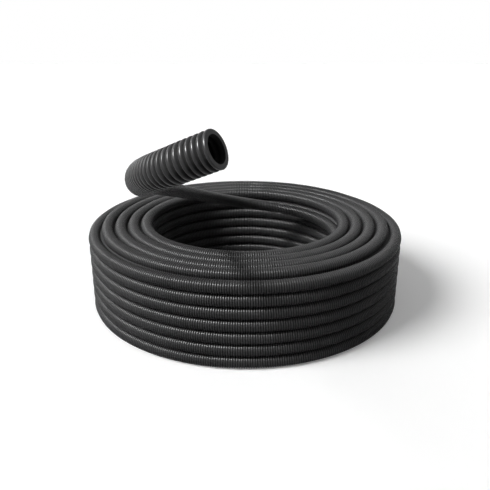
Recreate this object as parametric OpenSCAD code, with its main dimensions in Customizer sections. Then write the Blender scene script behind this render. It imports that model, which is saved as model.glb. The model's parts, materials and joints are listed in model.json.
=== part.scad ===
// Coil of corrugated conduit, lying flat, with its inner end drawn up out of the bore.
// Millimetres, +Z up. The origin is the middle of the coil on the plane it rests on.

/* [Conduit] */
// Diameter over the ribs
conduit_d = 20; // [18:0.5:22]
// Clear diameter inside
bore_d = 14.7; // [12:0.1:15]
// Thickness of the wall under a groove
groove_wall = 0.75; // [0.6:0.05:0.9]
// Thickness of the wall under a rib's top
wall_t = 0.65; // [0.5:0.05:0.7]
// Distance from one rib to the next
rib_pitch = 3.4; // [3:0.1:3.8]
// Length of a rib's flat top
rib_top = 1.5; // [1:0.1:1.7]
// Length of each sloping side of a rib
rib_flank = 0.4; // [0.2:0.1:0.6]

/* [Coil] */
// Turns stacked on each other in a layer
rows = 7; // [4:1:10]
// Layers of turns from the bore to the outside
layers = 5; // [3:1:7]
// Height from one turn to the next, where the ribs mesh a little
row_pitch = 19.2; // [17:0.1:19.8]
// Distance from one layer to the next
layer_pitch = 21.6; // [19:0.1:24]
// Radius of the innermost turns, to the middle of the conduit
inner_turn_r = 170; // [165:0.5:180]
// How much higher the layers inside the outermost one stand
inner_lift = 8.5; // [4:0.5:12]

/* [Free end] */
// Ribs on the straight stretch behind the cut
straight_ribs = 4; // [3:1:8]
// Ribs on the bend before it
bend_ribs = 24; // [8:1:30]

/* [Hidden] */
$fn = 96;
black = [0.09, 0.09, 0.09];

conduit_r = conduit_d / 2;
bore_r = bore_d / 2;
groove_r = bore_r + groove_wall;
straight_len = straight_ribs * rib_pitch - rib_flank;
groove_len = rib_pitch - rib_top - 2 * rib_flank;
outer_turn_r = inner_turn_r + (layers - 1) * layer_pitch;
inner_outer_r = outer_turn_r - layer_pitch;
low_z = conduit_r;
high_z = low_z + (rows - 1) * row_pitch;

// The free end peels off the innermost layer one row below the top
peel_z = high_z + inner_lift - row_pitch;
// Angle round the coil, distance in from the innermost turns' middle line, and height above peel_z
wall_route = [[-83, -14, 0], [-60, -9, 0], [-37, -2, 0], [-13, 4.5, 0], [11, 10.5, 1]];
// Points of the free stretch, with heights above peel_z
air_route = [
    [115, 92, 4], [45, 112, 11], [-25, 76, 32], [-74, -10, 68], [-100, -135, 112],
    [-102, -275, 155], [-91, -410, 197], [-76, -527, 231], [-64, -618, 253], [-56, -658, 267],
    [-43, -684, 276], [-24, -697, 286], [-6, -700, 293]];
route = concat(
    [for (w = wall_route) [
        (inner_turn_r - w[1]) * cos(w[0]), (inner_turn_r - w[1]) * sin(w[0]), peel_z + w[2]]],
    [for (a = air_route) a + [0, 0, peel_z]]);

// Flat sides round the free end, and rings on each span of its plain stretch
tube_sides = 12;
span_rings = 4;
// Steps on each span for measuring lengths along the route
span_marks = 16;

// A cubic B-spline through four neighbouring points, and its direction
function spline(a, b, c, d, t) =
    (pow(1 - t, 3) * a + (3 * pow(t, 3) - 6 * pow(t, 2) + 4) * b
    + (-3 * pow(t, 3) + 3 * pow(t, 2) + 3 * t + 1) * c + pow(t, 3) * d) / 6;
function spline_way(a, b, c, d, t) =
    (-pow(1 - t, 2) * a + (3 * pow(t, 2) - 4 * t) * b
    + (-3 * pow(t, 2) + 2 * t + 1) * c + pow(t, 2) * d) / 2;
function unit(v) = v / norm(v);

// Place and direction at u, counted in spans from the start of the route
spans = len(route) - 3;
function at(u) =
    let (i = min(floor(u), spans - 1))
    spline(route[i], route[i + 1], route[i + 2], route[i + 3], u - i);
function way(u) =
    let (i = min(floor(u), spans - 1))
    unit(spline_way(route[i], route[i + 1], route[i + 2], route[i + 3], u - i));

// Length along the route at each mark, and the place a length back from its end
steps = spans * span_marks;
reach = [
    for (k = 0, s = 0; k <= steps;
        s = s + norm(at(min(k + 1, steps) / span_marks) - at(k / span_marks)), k = k + 1)
        [s, k / span_marks]];
function back(d) = lookup(reach[steps][0] - d, reach);

cut_start = at(spans);
cut_way = way(spans);
ribbed_len = bend_ribs * rib_pitch;
// Where the flat-sided bend meets the round straight stretch, its opening stays just outside the bore
joint_gap = 0.1;
joint_r = bore_r / cos(180 / tube_sides) + joint_gap;

// Ring of points round a place, square to the way there, its first side kept level
function ring(c, w, r) =
    let (s = unit(cross(w, [0, 0, 1])), u = cross(s, w))
    [for (k = [0:tube_sides - 1])
        let (a = 360 * k / tube_sides) c + r * (cos(a) * s + sin(a) * u)];

// Closed skin through a row of rings, each given as its place in spans and its radius
module skin(rings) {
    n = len(rings);
    points = [for (q = rings) each ring(at(q[0]), way(q[0]), q[1])];
    sides = [
        for (i = [0:n - 2]) for (k = [0:tube_sides - 1])
            let (j = (k + 1) % tube_sides, a = i * tube_sides, b = a + tube_sides)
            [a + k, a + j, b + j, b + k]];
    first = [for (k = [tube_sides - 1:-1:0]) k];
    last = [for (k = [0:tube_sides - 1]) (n - 1) * tube_sides + k];
    polyhedron(points, concat([first, last], sides), convexity = 10);
}

// Plain stretch and ribbed bend in one skin, out along the ribs and back along the wall's inside
module free_stretch() {
    fold = rib_top + 2 * rib_flank;
    plain_end = back(ribbed_len + rib_flank);
    plain = [
        for (k = [0:spans * span_rings]) let (u = k / span_rings)
            if (plain_end - u > 1 / (2 * span_rings)) [u, conduit_r]];
    outside = [
        for (i = [bend_ribs - 1:-1:0]) let (d = i * rib_pitch) each [
            [back(d + rib_pitch), groove_r], [back(d + fold), groove_r],
            [back(d + rib_flank + rib_top), conduit_r], [back(d + rib_flank), conduit_r]]];
    inside = [
        for (i = [0:bend_ribs - 1]) let (d = i * rib_pitch) each [
            [back(d + rib_flank), conduit_r - wall_t],
            [back(d + rib_flank + rib_top), conduit_r - wall_t],
            [back(d + fold), bore_r], [back(d + rib_pitch), bore_r]]];
    joint = [[spans, conduit_r], [spans, joint_r]];
    skin(concat(plain, [[plain_end, conduit_r]], outside, joint, inside));
}

// Half section of the winding: turns all round its edge on a plain core
module winding_section() {
    polygon([
        [inner_turn_r, low_z + inner_lift], [inner_outer_r, low_z + inner_lift],
        [outer_turn_r, low_z], [outer_turn_r, high_z],
        [inner_outer_r, high_z + inner_lift], [inner_turn_r, high_z + inner_lift]]);
    for (k = [0:rows - 1]) {
        translate([outer_turn_r, low_z + k * row_pitch]) circle(conduit_r);
        translate([inner_turn_r, low_z + inner_lift + k * row_pitch]) circle(conduit_r);
    }
    for (j = [1:layers - 2]) for (z = [low_z, high_z])
        translate([inner_turn_r + j * layer_pitch, z + inner_lift]) circle(conduit_r);
}

module winding() {
    rotate_extrude() winding_section();
}

// Turns its children from +Z to the way of the cut, at the start of the straight stretch
module at_cut() {
    translate(cut_start) rotate([0, acos(cut_way[2]), atan2(cut_way[1], cut_way[0])]) children();
}

// Straight stretch behind the cut: a thin wall that follows the ribs inside and out
module straight_wall() {
    outside = [
        for (i = [0:straight_ribs - 1]) let (z = i * rib_pitch) each [
            [groove_r, z], [groove_r, z + groove_len], [conduit_r, z + groove_len + rib_flank],
            [conduit_r, z + groove_len + rib_flank + rib_top]]];
    inside = [
        for (i = [straight_ribs - 2:-1:0]) let (z = i * rib_pitch) each [
            [bore_r, z + rib_pitch], [conduit_r - wall_t, z + rib_pitch - rib_flank],
            [conduit_r - wall_t, z + groove_len + rib_flank], [bore_r, z + groove_len]]];
    rotate_extrude() polygon(concat(outside, [[bore_r, straight_len]], inside, [[bore_r, 0]]));
}

module conduit() {
    color(black) union() {
        winding();
        free_stretch();
        at_cut() straight_wall();
    }
}

conduit();
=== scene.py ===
"""Coil of corrugated conduit on a pale floor, its inner end drawn up out of the bore.

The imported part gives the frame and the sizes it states. The turns that show, the core behind
them and the free end are worked out here as ribbed surfaces, in metres, in the part's frame.
"""

import json
import math

import bpy
import numpy as np
from bpy.props import FloatProperty, FloatVectorProperty, IntProperty, PointerProperty
from bpy.types import Operator, Panel, PropertyGroup
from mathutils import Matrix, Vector


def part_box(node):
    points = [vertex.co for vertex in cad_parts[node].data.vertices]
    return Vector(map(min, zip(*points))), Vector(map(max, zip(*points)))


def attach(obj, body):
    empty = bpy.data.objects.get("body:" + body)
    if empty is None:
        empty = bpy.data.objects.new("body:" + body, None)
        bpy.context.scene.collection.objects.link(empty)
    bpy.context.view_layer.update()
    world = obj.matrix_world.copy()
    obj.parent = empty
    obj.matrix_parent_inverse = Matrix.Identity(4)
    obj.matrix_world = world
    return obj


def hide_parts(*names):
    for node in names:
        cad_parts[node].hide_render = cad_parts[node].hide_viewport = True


bl_info = {
    "name": "Corrugated conduit coil",
    "version": (1, 0, 0),
    "blender": (4, 5, 0),
    "location": "View3D > Sidebar > Conduit",
    "description": "Ribbed turns, core, free end and stage for a coil of corrugated conduit",
    "category": "Add Mesh",
}

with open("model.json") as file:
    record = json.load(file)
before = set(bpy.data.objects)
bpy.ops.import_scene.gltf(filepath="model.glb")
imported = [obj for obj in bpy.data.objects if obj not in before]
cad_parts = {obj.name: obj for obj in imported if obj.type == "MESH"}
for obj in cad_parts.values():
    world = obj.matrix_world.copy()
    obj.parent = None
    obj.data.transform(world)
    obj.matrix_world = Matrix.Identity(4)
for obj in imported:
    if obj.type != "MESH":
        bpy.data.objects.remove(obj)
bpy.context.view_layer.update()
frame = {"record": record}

NODE = "conduit"
BODY = "root"
MOUNTS = {mount["name"]: mount for mount in frame["record"]["mounts"]}
END = MOUNTS["conduit_end"]
OUTSIDE_R = END["dims"]["r_mm"] / 1000
CLEAR_R = MOUNTS["wire_way"]["dims"]["r_mm"] / 1000
NODE_LOW, NODE_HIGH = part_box(NODE)

# Route of the free end: against the bore's wall as angle in degrees, distance in from the
# innermost turns and height, then free points. Heights count from the row that it leaves.
WALL_ROUTE = (
    (-83, -0.014, 0), (-60, -0.009, 0), (-37, -0.002, 0), (-13, 0.0045, 0), (11, 0.0105, 0.001),
)
AIR_ROUTE = (
    (0.115, 0.092, 0.004), (0.045, 0.112, 0.011), (-0.025, 0.076, 0.032),
    (-0.074, -0.010, 0.068), (-0.100, -0.135, 0.112), (-0.102, -0.275, 0.155),
    (-0.091, -0.410, 0.197), (-0.076, -0.527, 0.231), (-0.064, -0.618, 0.253),
    (-0.056, -0.658, 0.267), (-0.043, -0.684, 0.276), (-0.024, -0.697, 0.286),
    (-0.006, -0.700, 0.293),
)
# Span of the route at which the free end has come out of the bore's wall
FREE_FROM = 1.2
STRAIGHT_RIBS = 4

# Half angles, in degrees, of the wall that shows on a turn at a side and on one at an end
SIDE_SHOWS = 108
END_SHOWS = 112
# Points round a turn that shows all round, and over the part that shows on the others
WHOLE_POINTS = 10
SHOWN_POINTS = 8
# Where the two points behind stand, as a share of the angle that is hidden
HIDDEN_SHARE = 0.3
# Steps round the core, marks on each span of the route, and points on the cord's path
CORE_STEPS = 192
SPAN_MARKS = 64
PATH_POINTS = 40

# Shine of the plastic, and its roughness where it is dull
SHINE = 0.12
DULL = 0.9
# Shares of the plastic's colour: painted shade in the grooves and on the core, and the tones where
# it is mottled
GROOVE_PAINTED_SHADE = 0.2
CORE_PAINTED_SHADE = 0.4
MOTTLE_SHADES = (0.8, 1.25)

# Half width of the floor in metres, its tone for the light it sends back, and its own glow
FLOOR_HALF = 6.0
FLOOR_BOUNCE = 0.35
FLOOR_GLOW = 0.15
# Where the lamps stand, seen from the part, and how wide each looks in degrees
KEY_FROM = (-0.72, -0.30, 0.62)
KEY_WIDTH = 34
# Lamps that add gloss alone, each with its place and strength
GLOSS_LAMPS = (("sheen_coil", (-0.56, -0.32, 0.77), 26.0), ("sheen_end", (-0.70, 0.35, 0.62), 1.0))
GLOSS_WIDTH = 8


# ---------------------------------------------------------------- properties


class ConduitSizes(PropertyGroup):
    """Sizes of the conduit's ribbed wall."""

    outside_d: FloatProperty(
        name="Outside diameter", description="Diameter over the ribs",
        default=2 * OUTSIDE_R, min=0.01, max=0.06, subtype="DISTANCE", unit="LENGTH")
    clear_d: FloatProperty(
        name="Clear diameter", description="Diameter of the clear way inside",
        default=2 * CLEAR_R, min=0.006, max=0.05, subtype="DISTANCE", unit="LENGTH")
    groove_d: FloatProperty(
        name="Groove diameter", description="Diameter at the bottom of the grooves",
        default=0.0162, min=0.008, max=0.055, subtype="DISTANCE", unit="LENGTH")
    wall: FloatProperty(
        name="Wall", description="Thickness of the wall under a rib",
        default=0.00065, min=0.0003, max=0.002, subtype="DISTANCE", unit="LENGTH")
    pitch: FloatProperty(
        name="Rib pitch", description="Distance from one rib to the next",
        default=0.0034, min=0.002, max=0.008, subtype="DISTANCE", unit="LENGTH")
    top: FloatProperty(
        name="Rib top", description="Length of a rib's top along the conduit",
        default=0.0015, min=0.0004, max=0.003, subtype="DISTANCE", unit="LENGTH")
    flank: FloatProperty(
        name="Rib flank", description="Length of each sloping side of a rib",
        default=0.0004, min=0.0001, max=0.001, subtype="DISTANCE", unit="LENGTH")
    sides: IntProperty(
        name="Sides", description="Points round the free end",
        default=24, min=12, max=32)


class CoilSizes(PropertyGroup):
    """Sizes of the winding."""

    rows: IntProperty(
        name="Rows", description="Turns stacked in a layer", default=7, min=3, max=12)
    layers: IntProperty(
        name="Layers", description="Layers from the bore outwards", default=5, min=3, max=8)
    row_pitch: FloatProperty(
        name="Row pitch", description="Height from one turn to the next",
        default=0.0192, min=0.015, max=0.03, subtype="DISTANCE", unit="LENGTH")
    layer_pitch: FloatProperty(
        name="Layer pitch", description="Distance from one layer to the next",
        default=0.0216, min=0.015, max=0.03, subtype="DISTANCE", unit="LENGTH")
    outer_turn_r: FloatProperty(
        name="Outer turn radius", description="Radius of the outermost turns' middle line",
        default=NODE_HIGH[0] - OUTSIDE_R, min=0.1, max=0.6, subtype="DISTANCE", unit="LENGTH")
    lift: FloatProperty(
        name="Inner lift", description="How much higher the layers inside the outermost one stand",
        default=0.0085, min=0.0, max=0.02, subtype="DISTANCE", unit="LENGTH")


class FinishColours(PropertyGroup):
    """Colours of the plastic."""

    plastic: FloatVectorProperty(
        name="Plastic", description="Black of the conduit",
        default=(0.032, 0.032, 0.033), size=3, min=0, max=1, subtype="COLOR")
    rubbed: FloatVectorProperty(
        name="Rubbed", description="Colour where the rib tops have rubbed",
        default=(0.044, 0.044, 0.045), size=3, min=0, max=1, subtype="COLOR")
    dust: FloatVectorProperty(
        name="Dust", description="Colour of the thin dust in the plastic's pores",
        default=(0.062, 0.06, 0.057), size=3, min=0, max=1, subtype="COLOR")
    cut: FloatVectorProperty(
        name="Cut", description="Colour of the cut face",
        default=(0.033, 0.033, 0.034), size=3, min=0, max=1, subtype="COLOR")


class StageSettings(PropertyGroup):
    """Floor, lamps and camera."""

    floor: FloatVectorProperty(
        name="Floor", description="Colour of the floor",
        default=(0.96, 0.96, 0.96), size=3, min=0, max=1, subtype="COLOR")
    sky: FloatProperty(
        name="Sky", description="Strength of the even light from all round",
        default=0.28, min=0, max=2)
    key: FloatProperty(
        name="Key", description="Strength of the sun from the front left",
        default=3.4, min=0, max=10)
    camera_distance: FloatProperty(
        name="Camera distance", description="Distance from the camera to the point it looks at",
        default=1.0368, min=0.5, max=4, subtype="DISTANCE", unit="LENGTH")
    camera_height: FloatProperty(
        name="Look-at height", description="Height of the point that the camera looks at",
        default=0.08814, min=0, max=0.4, subtype="DISTANCE", unit="LENGTH")
    camera_elevation: FloatProperty(
        name="Camera elevation", description="Angle of the view below the horizon",
        default=math.radians(21.05), min=0, max=1.5, subtype="ANGLE", unit="ROTATION")
    lens: FloatProperty(
        name="Lens", description="Focal length on a 36 mm sensor", default=42.83, min=20, max=120)


# ---------------------------------------------------------------- surfaces


def rib_profile(size, fine):
    """Marks along one pitch and how high up the rib each stands, 1 on its crown and 0 in the groove.

    Counted back from the cut, a rib has its crown from 0 to top, with a shoulder a fifth of the top
    long and an eighth of the rib high at each end. A fine groove has its floor from top + flank to
    pitch - flank, and a plain one only its lowest point, half way.
    """
    edge, shoulder = size.top / 5, 0.88
    crown = [0, edge, size.top - edge, size.top]
    heights = [shoulder, 1, 1, shoulder]
    if fine:
        return np.array([*crown, size.top + size.flank, size.pitch - size.flank]), (
            np.array([*heights, 0, 0], float))
    return np.array([*crown, (size.top + size.pitch) / 2]), np.array([*heights, 0], float)


def rib_stations(length, size, closed):
    """Rings along a ribbed wall of a length: how far back each stands and how high up its rib.

    Ring k of rib n stands at n * pitch + mark k. On a closed turn the pitch is stretched so that a
    whole number of ribs goes round. The open free end, which is seen from near, has fine grooves.
    """
    marks, heights = rib_profile(size, not closed)
    count = int(round(length / size.pitch))
    step = length / count if closed else size.pitch
    along = (np.arange(count)[:, None] * step + marks * (step / size.pitch)).ravel()
    return along, np.tile(heights, count)


def grid_faces(rings, sides, closed):
    """Quads of a grid that is closed round each ring, and also from last ring to first if closed."""
    i = np.arange(rings if closed else rings - 1)[:, None]
    k = np.arange(sides)[None, :]
    here, there = (i % rings) * sides, ((i + 1) % rings) * sides
    on = (k + 1) % sides
    return np.stack([here + k, here + on, there + on, there + k], axis=-1).reshape(-1, 4)


def turn_surface(radius, height, bends, size):
    """One closed ribbed turn as a function of the angle round the coil and the angle round the wall.

    With s the length along the turn, A = s / radius is the angle round the coil, and with b the
    angle round the wall, counted from outwards over the top, a point is at distance
    radius + r(s) cos b from the axis and at height + r(s) sin b, where r(s) is half the rib or
    groove diameter.
    """
    along, lift = rib_stations(2 * math.pi * radius, size, True)
    wall = (size.groove_d + lift * (size.outside_d - size.groove_d))[:, None] / 2
    angle = (along / radius)[:, None]
    out = radius + wall * np.cos(bends)[None, :]
    up = height + wall * np.sin(bends)[None, :]
    points = np.stack([out * np.cos(angle), out * np.sin(angle), up], axis=-1)
    heights = np.repeat(lift, len(bends))
    return points.reshape(-1, 3), grid_faces(len(along), len(bends), True)[:, ::-1], heights


def exposed_bends(middle, reach):
    """Angles round a turn's wall: evenly over what shows, middle +- reach, and two behind."""
    shown = np.linspace(middle - reach, middle + reach, SHOWN_POINTS)
    hidden = middle + 180 + np.array([-HIDDEN_SHARE, HIDDEN_SHARE]) * (180 - reach)
    return np.radians(np.concatenate([shown, hidden]))


def spline(points, u):
    """Places and directions on a uniform cubic B-spline, at u counted in spans.

    Between four neighbours a, b, c, d, with t from 0 to 1, the place is ((1-t)^3 a +
    (3t^3 - 6t^2 + 4) b + (-3t^3 + 3t^2 + 3t + 1) c + t^3 d) / 6, and the direction its derivative.
    """
    u = np.asarray(u, float)
    first = np.minimum(np.floor(u).astype(int), len(points) - 4)
    t = u - first
    near = points[first[:, None] + np.arange(4)[None, :]]
    place = np.stack([
        (1 - t) ** 3, 3 * t**3 - 6 * t**2 + 4, -3 * t**3 + 3 * t**2 + 3 * t + 1, t**3,
    ], axis=1) / 6
    slope = np.stack([
        -((1 - t) ** 2), 3 * t**2 - 4 * t, -3 * t**2 + 2 * t + 1, t**2,
    ], axis=1) / 2
    at = np.einsum("nk,nkd->nd", place, near)
    way = np.einsum("nk,nkd->nd", slope, near)
    return at, way / np.linalg.norm(way, axis=1, keepdims=True)


def free_route(size, coil):
    """Middle line of the free end, as places and directions for any length back from the cut.

    The route's points give a B-spline, which goes on in a straight line of STRAIGHT_RIBS ribs to the
    cut. Returns that function, and the length from the cut back to where it leaves the wall.
    """
    inner_r = coil.outer_turn_r - (coil.layers - 1) * coil.layer_pitch
    base = size.outside_d / 2 + (coil.rows - 2) * coil.row_pitch + coil.lift
    wall = np.array(WALL_ROUTE)
    angle, reach = np.radians(wall[:, 0]), inner_r - wall[:, 1]
    points = np.concatenate([
        np.stack([reach * np.cos(angle), reach * np.sin(angle), base + wall[:, 2]], axis=1),
        np.array(AIR_ROUTE) + [0, 0, base],
    ])
    spans = len(points) - 3
    marks = np.linspace(0, spans, spans * SPAN_MARKS + 1)
    at, way = spline(points, marks)
    run = np.concatenate([[0], np.cumsum(np.linalg.norm(np.diff(at, axis=0), axis=1))])
    straight = STRAIGHT_RIBS * size.pitch - size.flank
    total = run[-1] + straight

    def place(back):
        s = total - np.asarray(back, float)
        middle, direction = spline(points, np.interp(s, run, marks))
        return middle + np.maximum(s - run[-1], 0)[:, None] * direction, direction

    return place, total - np.interp(FREE_FROM, marks, run)


def swept_surface(middle, way, radius, sides):
    """Rings of given radius round a middle line: place + r (cos a * side + sin a * up).

    side is level and square to the way there, and up is side x way, so the rings don't twist. The
    first and last ring are closed with a fan to their middle points.
    """
    side = np.cross(way, [0, 0, 1])
    side /= np.linalg.norm(side, axis=1, keepdims=True)
    up = np.cross(side, way)
    a = np.linspace(0, 2 * math.pi, sides, endpoint=False)
    spokes = np.cos(a)[None, :, None] * side[:, None] + np.sin(a)[None, :, None] * up[:, None]
    points = (middle[:, None] + radius[:, None, None] * spokes).reshape(-1, 3)
    rings = len(middle)
    quads = grid_faces(rings, sides, False)
    k = np.arange(sides)
    on = (k + 1) % sides
    start, end = rings * sides, rings * sides + 1
    last = (rings - 1) * sides
    fans = np.concatenate([
        np.stack([np.full(sides, start), on, k], axis=1),
        np.stack([np.full(sides, end), last + k, last + on], axis=1),
    ])
    return np.concatenate([points, middle[[0, -1]]]), quads, fans


def revolved_surface(outline, steps):
    """An outline of distance and height, turned round the Z axis: (d cos A, d sin A, h)."""
    outline = np.asarray(outline, float)
    angle = np.linspace(0, 2 * math.pi, steps, endpoint=False)[:, None]
    points = np.stack([
        outline[:, 0] * np.cos(angle), outline[:, 0] * np.sin(angle),
        np.broadcast_to(outline[:, 1], (steps, len(outline))),
    ], axis=-1).reshape(-1, 3)
    return points, grid_faces(steps, len(outline), True)


def add_piece(name, points, faces, material, heights=None, triangles=None, smooth=True):
    """Puts a surface into a new mesh object at the origin, in the scene's collection."""
    mesh = bpy.data.meshes.new(name)
    loops = [faces.ravel()]
    starts = [np.arange(len(faces)) * 4]
    if triangles is not None:
        loops.append(triangles.ravel())
        starts.append(len(faces) * 4 + np.arange(len(triangles)) * 3)
    loops, starts = np.concatenate(loops), np.concatenate(starts)
    mesh.vertices.add(len(points))
    mesh.vertices.foreach_set("co", np.ascontiguousarray(points, np.float32).ravel())
    mesh.loops.add(len(loops))
    mesh.loops.foreach_set("vertex_index", loops.astype(np.int32))
    mesh.polygons.add(len(starts))
    mesh.polygons.foreach_set("loop_start", starts.astype(np.int32))
    mesh.polygons.foreach_set("use_smooth", np.full(len(starts), smooth))
    mesh.update(calc_edges=True)
    if mesh.validate():
        raise RuntimeError(f"{name}: the surface has faults that Blender had to mend")
    if heights is not None:
        layer = mesh.attributes.new("rib_height", "FLOAT", "POINT")
        layer.data.foreach_set("value", np.asarray(heights, np.float32))
    mesh.materials.append(material)
    piece = bpy.data.objects.new(name, mesh)
    bpy.context.scene.collection.objects.link(piece)
    return piece


def place_piece(piece):
    """Rides the piece on the part's body, in the part's place, and hides the imported part."""
    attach(piece, BODY)
    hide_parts(NODE)


# ---------------------------------------------------------------- finishes


def node(tree, kind, spot, **inputs):
    """Adds a shader node and sets its inputs: a socket makes a link, anything else a value."""
    made = tree.nodes.new(kind)
    made.location = spot
    for name, value in inputs.items():
        socket = made.inputs[int(name[1:])] if name[0] == "i" and name[1:].isdigit() else (
            made.inputs[name.replace("_", " ")])
        if isinstance(value, bpy.types.NodeSocket):
            tree.links.new(value, socket)
        else:
            socket.default_value = value
    return made


def maths(tree, what, spot, a, b=0.5, clamp=False):
    """A Math node's value."""
    made = node(tree, "ShaderNodeMath", spot, i0=a, i1=b)
    made.operation = what
    made.use_clamp = clamp
    return made.outputs[0]


def spread(tree, spot, value, low, high, to_low=0.0, to_high=1.0):
    """Maps a value from low..high to to_low..to_high, kept inside."""
    made = node(
        tree, "ShaderNodeMapRange", spot, Value=value, From_Min=low, From_Max=high,
        To_Min=to_low, To_Max=to_high)
    return made.outputs[0]


def seen_rays(tree):
    """Masks of a ray's kind: 1 for camera, mirror and through-glass rays, and 1 for camera alone."""
    ray = node(tree, "ShaderNodeLightPath", (-800, 0)).outputs
    seen = maths(tree, "MAXIMUM", (-600, 0), ray["Is Camera Ray"], ray["Is Glossy Ray"])
    seen = maths(tree, "MAXIMUM", (-400, 0), seen, ray["Is Transmission Ray"])
    return seen, ray["Is Camera Ray"]


def surface_marks_group():
    """Marks that handling leaves on extruded plastic, for every finish of this coil.

    In: the position, how far up a rib a point lies, and the amounts of rub and dust. Out: a rub
    mask on the rib tops, a dust mask that gathers in the grooves, a slow mottle of the colour, and
    a fine height for a bump.
    """
    group = bpy.data.node_groups.new("surface_marks", "ShaderNodeTree")
    for name, kind in (
        ("Position", "NodeSocketVector"), ("Rib Height", "NodeSocketFloat"),
        ("Rub Amount", "NodeSocketFloat"), ("Dust Amount", "NodeSocketFloat"),
    ):
        group.interface.new_socket(name, in_out="INPUT", socket_type=kind)
    for name in ("Rub", "Dust", "Mottle", "Height"):
        group.interface.new_socket(name, in_out="OUTPUT", socket_type="NodeSocketFloat")
    got = node(group, "NodeGroupInput", (-900, 0)).outputs
    out = node(group, "NodeGroupOutput", (700, 0)).inputs

    patch = node(
        group, "ShaderNodeTexNoise", (-650, 250), Vector=got["Position"], Scale=38.0, Detail=4.0,
        Roughness=0.62).outputs["Fac"]
    fine = node(
        group, "ShaderNodeTexNoise", (-650, 0), Vector=got["Position"], Scale=420.0, Detail=3.0,
        Roughness=0.6).outputs["Fac"]
    slow = node(
        group, "ShaderNodeTexNoise", (-650, -250), Vector=got["Position"], Scale=9.0, Detail=2.0,
        Roughness=0.5).outputs["Fac"]

    rubbed = maths(
        group, "MULTIPLY", (-200, 300), spread(group, (-420, 300), patch, 0.50, 0.66),
        spread(group, (-420, 150), fine, 0.42, 0.62))
    rubbed = maths(group, "MULTIPLY", (0, 300), rubbed, got["Rib Height"])
    group.links.new(
        maths(group, "MULTIPLY", (200, 300), rubbed, got["Rub Amount"], clamp=True), out["Rub"])

    low = maths(group, "SUBTRACT", (-420, -50), 1.15, got["Rib Height"])
    dusty = maths(
        group, "MULTIPLY", (-200, 0), low, spread(group, (-420, -200), slow, 0.38, 0.68))
    dusty = maths(group, "MULTIPLY", (0, 0), dusty, spread(group, (-200, -200), fine, 0.3, 0.7))
    group.links.new(
        maths(group, "MULTIPLY", (200, 0), dusty, got["Dust Amount"], clamp=True), out["Dust"])

    group.links.new(spread(group, (0, -300), slow, 0.3, 0.7), out["Mottle"])
    rough = maths(group, "MULTIPLY", (0, -450), patch, 0.5)
    group.links.new(maths(group, "ADD", (200, -450), rough, fine), out["Height"])
    return group


def shade(colour, share):
    """A share of a colour, darker below 1 and paler above."""
    return tuple(share * c for c in colour)


def plastic(name, group, base, colours, rub, dust, roughness, bump, ribbed=False):
    """A finish of the coil: base plastic, painted darker in the grooves as shade, rubbed paler on
    the tops and dusted in the grooves.
    """
    made = bpy.data.materials.new(name)
    made.use_nodes = True
    tree = made.node_tree
    shader = tree.nodes["Principled BSDF"]
    shader.location = (700, 0)
    tree.nodes["Material Output"].location = (1000, 0)
    where = node(tree, "ShaderNodeTexCoord", (-700, 0)).outputs["Object"]
    marks = node(tree, "ShaderNodeGroup", (-300, 0))
    marks.node_tree = group
    tree.links.new(where, marks.inputs["Position"])
    if ribbed:
        height = node(tree, "ShaderNodeAttribute", (-700, -250))
        height.attribute_name = "rib_height"
        tree.links.new(height.outputs["Fac"], marks.inputs["Rib Height"])
    else:
        marks.inputs["Rib Height"].default_value = 0.5
    marks.inputs["Rub Amount"].default_value = rub
    marks.inputs["Dust Amount"].default_value = dust

    def blend(spot, share, a, b):
        mix = tree.nodes.new("ShaderNodeMix")
        mix.data_type = "RGBA"
        mix.location = spot
        tree.links.new(share, mix.inputs[0])
        for socket, colour in ((mix.inputs[6], a), (mix.inputs[7], b)):
            if isinstance(colour, bpy.types.NodeSocket):
                tree.links.new(colour, socket)
            else:
                socket.default_value = (*colour, 1)
        return mix.outputs[2]

    darker, paler = (shade(base, share) for share in MOTTLE_SHADES)
    body = blend((0, 200), marks.outputs["Mottle"], darker, paler)
    if ribbed:
        # Painted shade: ribbed plastic darkens towards the groove floors, where the ribs shade it
        shaded = spread(tree, (0, 400), height.outputs["Fac"], 0.45, 0.95, 1, 0)
        body = blend((100, 300), shaded, body, shade(base, GROOVE_PAINTED_SHADE))
    body = blend((200, 200), marks.outputs["Rub"], body, tuple(colours.rubbed))
    body = blend((400, 200), marks.outputs["Dust"], body, tuple(colours.dust))
    tree.links.new(body, shader.inputs["Base Color"])
    dull = maths(
        tree, "MAXIMUM", (200, -100), marks.outputs["Dust"],
        maths(tree, "MULTIPLY", (0, -100), marks.outputs["Mottle"], 0.12))
    if ribbed:
        dull = maths(
            tree, "MAXIMUM", (300, -200), dull,
            spread(tree, (100, -250), height.outputs["Fac"], 0.8, 1.0, 1, 0))
    tree.links.new(
        spread(tree, (400, -100), dull, 0, 1, roughness, DULL), shader.inputs["Roughness"])
    lumps = node(
        tree, "ShaderNodeBump", (400, -350), Strength=bump, Distance=0.0002,
        Height=marks.outputs["Height"])
    tree.links.new(lumps.outputs[0], shader.inputs["Normal"])
    shader.inputs["Specular IOR Level"].default_value = SHINE
    return made


def finishes():
    """The coil's finishes by name, made once."""
    if "conduit_black" in bpy.data.materials:
        return {
            key: bpy.data.materials[key] for key in ("conduit_black", "core_painted_shade", "cut_black")}
    colours = bpy.context.scene.conduit_colours
    group = surface_marks_group()
    base = tuple(colours.plastic)
    return {
        "conduit_black": plastic(
            "conduit_black", group, base, colours, rub=0.55, dust=0.2, roughness=0.28, bump=0.25,
            ribbed=True),
        # Painted shade: the core is a darker share of the plastic, standing for the shade in the
        # gaps between turns
        "core_painted_shade": plastic(
            "core_painted_shade", group, shade(base, CORE_PAINTED_SHADE), colours, rub=0.0, dust=0.1, roughness=0.7,
            bump=0.2),
        "cut_black": plastic(
            "cut_black", group, tuple(colours.cut), colours, rub=0.3, dust=0.2, roughness=0.5,
            bump=0.5),
    }


# ---------------------------------------------------------------- pieces


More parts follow.
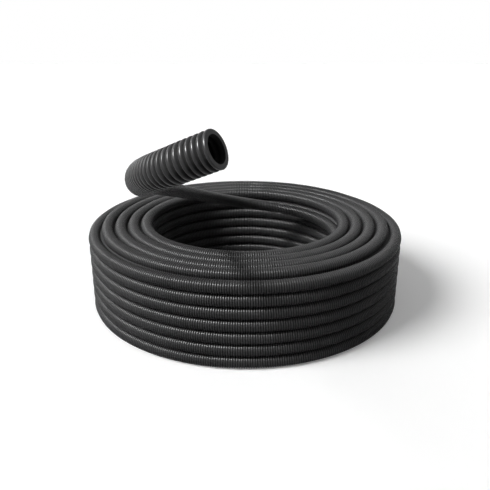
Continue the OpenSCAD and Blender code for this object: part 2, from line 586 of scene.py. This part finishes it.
class CONDUIT_OT_turns(Operator):
    """Adds the ribbed turns that show: round the outside, in the bore, on top and underneath"""

    bl_idname = "conduit.turns"
    bl_label = "Add Turns"

    def execute(self, context):
        size, coil = context.scene.conduit_sizes, context.scene.conduit_coil
        black = finishes()["conduit_black"]
        low = size.outside_d / 2
        rows = low + np.arange(coil.rows) * coil.row_pitch
        radii = coil.outer_turn_r - np.arange(coil.layers)[::-1] * coil.layer_pitch
        split = coil.rows // 2 + 1
        whole = np.radians(np.arange(WHOLE_POINTS) * (360 / WHOLE_POINTS))
        outward, inward = exposed_bends(0, SIDE_SHOWS), exposed_bends(180, SIDE_SHOWS)

        def corner(k):
            return k in (0, coil.rows - 1)

        outer = [(radii[-1], z, whole if corner(k) else outward) for k, z in enumerate(rows)]
        inner = [
            (radii[0], z + coil.lift, whole if corner(k) else inward)
            for k, z in enumerate(rows)]
        top = [(r, rows[-1] + coil.lift, exposed_bends(90, END_SHOWS)) for r in radii[1:-1]]
        bottom = [(r, rows[0] + coil.lift, exposed_bends(270, END_SHOWS)) for r in radii[1:-1]]
        for name, turns in (
            ("outer_turns_low", outer[:split]), ("outer_turns_high", outer[split:]),
            ("bore_turns_low", inner[:split]), ("bore_turns_high", inner[split:]),
            ("top_turns", top), ("bottom_turns", bottom),
        ):
            points, faces, heights, count = [], [], [], 0
            for radius, z, bends in turns:
                p, f, h = turn_surface(radius, z, bends, size)
                points.append(p)
                faces.append(f + count)
                heights.append(h)
                count += len(p)
            place_piece(add_piece(
                name, np.concatenate(points), np.concatenate(faces), black,
                np.concatenate(heights)))
        return {"FINISHED"}


class CONDUIT_OT_core(Operator):
    """Adds the core that closes the gaps behind the turns that show, painted dark as their shade"""

    bl_idname = "conduit.core"
    bl_label = "Add Core"

    def execute(self, context):
        size, coil = context.scene.conduit_sizes, context.scene.conduit_coil
        low = size.outside_d / 2
        high = low + (coil.rows - 1) * coil.row_pitch
        outer = coil.outer_turn_r
        inner = outer - (coil.layers - 1) * coil.layer_pitch
        step = outer - coil.layer_pitch
        outline = [
            (inner, low + coil.lift), (step, low + coil.lift), (outer, low), (outer, high),
            (step, high + coil.lift), (inner, high + coil.lift)]
        points, faces = revolved_surface(outline, CORE_STEPS)
        place_piece(add_piece(
            "winding_core", points, faces[:, ::-1], finishes()["core_painted_shade"], smooth=False))
        return {"FINISHED"}


class CONDUIT_OT_free_end(Operator):
    """Adds the free end: a ribbed tube along its route, open and hollow at the cut"""

    bl_idname = "conduit.free_end"
    bl_label = "Add Free End"

    hollow_ribs: IntProperty(
        name="Hollow ribs", description="Ribs over which the inside is modelled",
        default=27, min=4, max=60)

    def execute(self, context):
        size, coil = context.scene.conduit_sizes, context.scene.conduit_coil
        place, length = free_route(size, coil)
        rib, groove, clear = size.outside_d / 2, size.groove_d / 2, size.clear_d / 2
        back, height = rib_stations(length, size, False)
        outside = np.stack([back, groove + height * (rib - groove), height], axis=1)[::-1]
        marks = len(rib_profile(size, True)[0])
        deep = self.hollow_ribs * marks
        under = np.where(height[:deep] > 0, rib - size.wall, clear)
        under[:marks] = clear
        # The inside gets rib height 0, so it takes the grooves' painted shade
        inside = np.stack([back[:deep], under, 0 * height[:deep]], axis=1)
        rings = np.concatenate([outside, inside])
        middle, way = place(rings[:, 0])
        points, quads, fans = swept_surface(middle, way, rings[:, 1], size.sides)
        heights = np.concatenate([np.repeat(rings[:, 2], size.sides), [1, 0]])
        black = finishes()["conduit_black"]
        piece = add_piece("free_end", points, quads, black, heights, triangles=fans)
        mesh = piece.data
        mesh.materials.append(finishes()["cut_black"])
        rim = len(outside) - 1
        mesh.polygons.foreach_set("material_index", np.concatenate([
            np.repeat(np.arange(len(rings) - 1) == rim, size.sides), np.zeros(len(fans)),
        ]).astype(np.int32))
        ends = np.empty(len(mesh.edges) * 2, np.int32)
        mesh.edges.foreach_get("vertices", ends)
        ring = ends.reshape(-1, 2) // size.sides
        edge = (ring[:, 0] == ring[:, 1]) & ((ring[:, 0] == rim) | (ring[:, 0] == rim + 1))
        sharp = mesh.attributes.new("sharp_edge", "BOOLEAN", "EDGE")
        sharp.data.foreach_set("value", edge)
        path, _ = place(np.linspace(length, 0, PATH_POINTS))
        place_piece(piece)
        return {"FINISHED"}


class CONDUIT_OT_stage(Operator):
    """Adds the pale floor, the even sky, the lamps and the camera"""

    bl_idname = "conduit.stage"
    bl_label = "Add Stage"

    def execute(self, context):
        stage = context.scene.conduit_stage
        self.add_floor(stage)
        self.set_sky(context.scene, stage)
        self.add_lamps(stage)
        self.add_camera(context.scene, stage)
        context.scene.view_settings.view_transform = "Standard"
        return {"FINISHED"}

    def add_floor(self, stage):
        half = FLOOR_HALF
        mesh = bpy.data.meshes.new("floor")
        mesh.from_pydata(
            [(-half, -half, 0), (half, -half, 0), (half, half, 0), (-half, half, 0)],
            [], [(0, 1, 2, 3)])
        floor = bpy.data.objects.new("floor", mesh)
        bpy.context.scene.collection.objects.link(floor)
        pale = bpy.data.materials.new("floor_pale")
        pale.use_nodes = True
        shader = pale.node_tree.nodes["Principled BSDF"]
        tree = pale.node_tree
        seen, camera = seen_rays(tree)
        tone = spread(tree, (-200, 0), seen, 0, 1, FLOOR_BOUNCE, stage.floor[0])
        tree.links.new(tone, shader.inputs["Base Color"])
        shader.inputs["Emission Color"].default_value = (1, 1, 1, 1)
        tree.links.new(
            maths(tree, "MULTIPLY", (-200, -250), camera, FLOOR_GLOW),
            shader.inputs["Emission Strength"])
        shader.inputs["Roughness"].default_value = 1.0
        shader.inputs["Specular IOR Level"].default_value = 0.0
        mesh.materials.append(pale)

    def set_sky(self, scene, stage):
        sky = bpy.data.worlds.new("even_sky")
        sky.use_nodes = True
        tree = sky.node_tree
        background = tree.nodes["Background"]
        background.inputs["Color"].default_value = (1, 1, 1, 1)
        seen, _ = seen_rays(tree)
        tree.links.new(
            spread(tree, (-200, 0), seen, 0, 1, stage.sky, 1.0), background.inputs["Strength"])
        scene.world = sky

    def add_lamps(self, stage):
        key = bpy.data.lights.new("key", "SUN")
        key.energy = stage.key
        key.angle = math.radians(KEY_WIDTH)
        self.aim(key, KEY_FROM)
        for name, towards, power in GLOSS_LAMPS:
            sheen = bpy.data.lights.new(name, "SUN")
            sheen.energy = power
            sheen.angle = math.radians(GLOSS_WIDTH)
            self.aim(sheen, towards).visible_diffuse = False

    def aim(self, lamp, towards):
        made = bpy.data.objects.new(lamp.name, lamp)
        made.rotation_mode = "QUATERNION"
        made.rotation_quaternion = Vector(towards).to_track_quat("Z", "Y")
        made.location = Vector(towards) * 2
        bpy.context.scene.collection.objects.link(made)
        return made

    def add_camera(self, scene, stage):
        camera = bpy.data.cameras.new("camera")
        camera.lens = stage.lens
        camera.sensor_width = 36
        made = bpy.data.objects.new("camera", camera)
        tilt = stage.camera_elevation
        made.location = (
            0, -stage.camera_distance * math.cos(tilt),
            stage.camera_height + stage.camera_distance * math.sin(tilt))
        made.rotation_euler = (math.pi / 2 - tilt, 0, 0)
        scene.collection.objects.link(made)
        scene.camera = made


class CONDUIT_PT_panel(Panel):
    """Sizes, colours and steps of the conduit coil"""

    bl_idname = "CONDUIT_PT_panel"
    bl_label = "Conduit Coil"
    bl_space_type = "VIEW_3D"
    bl_region_type = "UI"
    bl_category = "Conduit"

    def draw(self, context):
        for group in ("conduit_sizes", "conduit_coil", "conduit_colours", "conduit_stage"):
            box = self.layout.box()
            settings = getattr(context.scene, group)
            for name in type(settings).__annotations__:
                box.prop(settings, name)
        for step in STEPS:
            self.layout.operator(step.bl_idname)


STEPS = (CONDUIT_OT_stage, CONDUIT_OT_free_end, CONDUIT_OT_turns, CONDUIT_OT_core)
GROUPS = {
    "conduit_sizes": ConduitSizes, "conduit_coil": CoilSizes,
    "conduit_colours": FinishColours, "conduit_stage": StageSettings,
}


def register():
    """Registers the classes and hangs the settings on the scene."""
    for kind in (*GROUPS.values(), *STEPS, CONDUIT_PT_panel):
        bpy.utils.register_class(kind)
    for name, kind in GROUPS.items():
        setattr(bpy.types.Scene, name, PointerProperty(type=kind))


def unregister():
    """Takes the settings and the classes away again."""
    for name in GROUPS:
        delattr(bpy.types.Scene, name)
    for kind in reversed((*GROUPS.values(), *STEPS, CONDUIT_PT_panel)):
        bpy.utils.unregister_class(kind)


def main():
    """Builds the stage and the pieces."""
    register()
    bpy.ops.conduit.stage()
    bpy.ops.conduit.free_end()
    bpy.ops.conduit.turns()
    bpy.ops.conduit.core()


if __name__ == "__main__":
    main()
